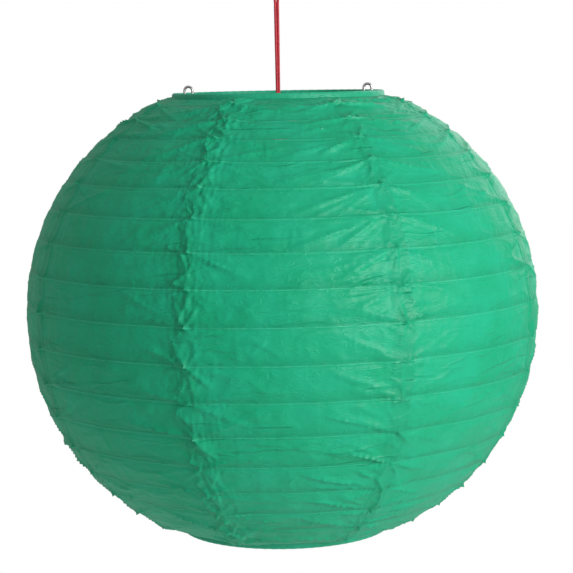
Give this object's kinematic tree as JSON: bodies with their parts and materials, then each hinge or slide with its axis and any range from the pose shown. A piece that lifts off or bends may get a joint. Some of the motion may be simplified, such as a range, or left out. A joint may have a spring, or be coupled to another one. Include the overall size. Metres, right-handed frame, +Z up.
{
  "type": "hanging paper lantern",
  "caption": "Round hanging paper lantern: ribbed tissue globe over wire hoops, held open by a sprung wire expander, hung from a screw hook by a doubled cord.",
  "frame": {"origin": "where the hook's collar meets the ceiling, on the screw's axis", "axes": "+Z up along the screw and the lantern's axis, +X along the expander and crossbar, -Y towards the front gore"},
  "size_m": [0.3996, 0.3996, 0.4626],
  "materials": {
    "green_tissue": "matte translucent tissue",
    "binding_paper": "matte folded edging",
    "grey_wire": "plain drawn wire",
    "bright_wire": "bright spring wire",
    "red_cord": "braided red cord",
    "brassed_steel": "brass plated"
  },
  "bodies": {
    "hook": {"ceiling_hook": "brassed_steel"},
    "cord": {"hanging_cord": "red_cord"},
    "knot": {"cord_knot": "red_cord"},
    "lantern": {"expander_frame": "bright_wire", "hanger_bar": "bright_wire", "top_ring": "grey_wire", "top_binding": "binding_paper", "paper_gore_1": "green_tissue", "paper_gore_2": "green_tissue", "paper_gore_3": "green_tissue", "paper_gore_4": "green_tissue", "paper_gore_5": "green_tissue", "paper_gore_6": "green_tissue", "paper_gore_7": "green_tissue", "paper_gore_8": "green_tissue"},
    "base_ring": {"bottom_ring": "grey_wire", "bottom_binding": "binding_paper"},
    "hoop_01": {"rib_hoop_01": "grey_wire"},
    "hoop_02": {"rib_hoop_02": "grey_wire"},
    "hoop_03": {"rib_hoop_03": "grey_wire"},
    "hoop_04": {"rib_hoop_04": "grey_wire"},
    "hoop_05": {"rib_hoop_05": "grey_wire"},
    "hoop_06": {"rib_hoop_06": "grey_wire"},
    "hoop_07": {"rib_hoop_07": "grey_wire"},
    "hoop_08": {"rib_hoop_08": "grey_wire"},
    "hoop_09": {"rib_hoop_09": "grey_wire"},
    "hoop_10": {"rib_hoop_10": "grey_wire"},
    "hoop_11": {"rib_hoop_11": "grey_wire"},
    "hoop_12": {"rib_hoop_12": "grey_wire"},
    "hoop_13": {"rib_hoop_13": "grey_wire"},
    "hoop_14": {"rib_hoop_14": "grey_wire"},
    "hoop_15": {"rib_hoop_15": "grey_wire"},
    "hoop_16": {"rib_hoop_16": "grey_wire"},
    "hoop_17": {"rib_hoop_17": "grey_wire"}
  },
  "joints": [
    {"name": "cord_swing", "type": "hinge", "parent": "hook", "child": "cord", "pos_m": [0, 0, -0.02191], "axis": [0, 1, 0], "range_deg": [-30, 30]},
    {"name": "lantern_turn", "type": "hinge", "parent": "cord", "child": "knot", "pos_m": [0, 0, -0.103], "axis": [0, 0, 1], "range_deg": [-180, 180]},
    {"name": "lantern_tilt", "type": "hinge", "parent": "knot", "child": "lantern", "pos_m": [0, 0, -0.113], "axis": [1, 0, 0], "range_deg": [-20, 20]},
    {"name": "shade_fold", "type": "slide", "parent": "lantern", "child": "base_ring", "axis": [0, 0, 1], "range_m": [0, 0.3], "deforming": ["paper_gore_1", "paper_gore_2", "paper_gore_3", "paper_gore_4", "paper_gore_5", "paper_gore_6", "paper_gore_7", "paper_gore_8"]},
    {"name": "hoop_01_rise", "type": "slide", "parent": "lantern", "child": "hoop_01", "axis": [0, 0, 1], "range_m": [0, 0.00784]},
    {"name": "hoop_02_rise", "type": "slide", "parent": "lantern", "child": "hoop_02", "axis": [0, 0, 1], "range_m": [0, 0.01697]},
    {"name": "hoop_03_rise", "type": "slide", "parent": "lantern", "child": "hoop_03", "axis": [0, 0, 1], "range_m": [0, 0.02809]},
    {"name": "hoop_04_rise", "type": "slide", "parent": "lantern", "child": "hoop_04", "axis": [0, 0, 1], "range_m": [0, 0.04138]},
    {"name": "hoop_05_rise", "type": "slide", "parent": "lantern", "child": "hoop_05", "axis": [0, 0, 1], "range_m": [0, 0.05697]},
    {"name": "hoop_06_rise", "type": "slide", "parent": "lantern", "child": "hoop_06", "axis": [0, 0, 1], "range_m": [0, 0.07485]},
    {"name": "hoop_07_rise", "type": "slide", "parent": "lantern", "child": "hoop_07", "axis": [0, 0, 1], "range_m": [0, 0.09483]},
    {"name": "hoop_08_rise", "type": "slide", "parent": "lantern", "child": "hoop_08", "axis": [0, 0, 1], "range_m": [0, 0.11652]},
    {"name": "hoop_09_rise", "type": "slide", "parent": "lantern", "child": "hoop_09", "axis": [0, 0, 1], "range_m": [0, 0.13935]},
    {"name": "hoop_10_rise", "type": "slide", "parent": "lantern", "child": "hoop_10", "axis": [0, 0, 1], "range_m": [0, 0.16292]},
    {"name": "hoop_11_rise", "type": "slide", "parent": "lantern", "child": "hoop_11", "axis": [0, 0, 1], "range_m": [0, 0.18638]},
    {"name": "hoop_12_rise", "type": "slide", "parent": "lantern", "child": "hoop_12", "axis": [0, 0, 1], "range_m": [0, 0.2088]},
    {"name": "hoop_13_rise", "type": "slide", "parent": "lantern", "child": "hoop_13", "axis": [0, 0, 1], "range_m": [0, 0.22959]},
    {"name": "hoop_14_rise", "type": "slide", "parent": "lantern", "child": "hoop_14", "axis": [0, 0, 1], "range_m": [0, 0.24837]},
    {"name": "hoop_15_rise", "type": "slide", "parent": "lantern", "child": "hoop_15", "axis": [0, 0, 1], "range_m": [0, 0.26491]},
    {"name": "hoop_16_rise", "type": "slide", "parent": "lantern", "child": "hoop_16", "axis": [0, 0, 1], "range_m": [0, 0.27911]},
    {"name": "hoop_17_rise", "type": "slide", "parent": "lantern", "child": "hoop_17", "axis": [0, 0, 1], "range_m": [0, 0.29098]}
  ],
  "couplings": [
    {"joint": "hoop_01_rise", "follows": "shade_fold", "ratio": 0.02446},
    {"joint": "hoop_02_rise", "follows": "shade_fold", "ratio": 0.0549},
    {"joint": "hoop_03_rise", "follows": "shade_fold", "ratio": 0.09197},
    {"joint": "hoop_04_rise", "follows": "shade_fold", "ratio": 0.13627},
    {"joint": "hoop_05_rise", "follows": "shade_fold", "ratio": 0.18824},
    {"joint": "hoop_06_rise", "follows": "shade_fold", "ratio": 0.24783},
    {"joint": "hoop_07_rise", "follows": "shade_fold", "ratio": 0.31444},
    {"joint": "hoop_08_rise", "follows": "shade_fold", "ratio": 0.38674},
    {"joint": "hoop_09_rise", "follows": "shade_fold", "ratio": 0.46282},
    {"joint": "hoop_10_rise", "follows": "shade_fold", "ratio": 0.5414},
    {"joint": "hoop_11_rise", "follows": "shade_fold", "ratio": 0.61961},
    {"joint": "hoop_12_rise", "follows": "shade_fold", "ratio": 0.69433},
    {"joint": "hoop_13_rise", "follows": "shade_fold", "ratio": 0.76365},
    {"joint": "hoop_14_rise", "follows": "shade_fold", "ratio": 0.82624},
    {"joint": "hoop_15_rise", "follows": "shade_fold", "ratio": 0.88135},
    {"joint": "hoop_16_rise", "follows": "shade_fold", "ratio": 0.92871},
    {"joint": "hoop_17_rise", "follows": "shade_fold", "ratio": 0.96827}
  ]
}
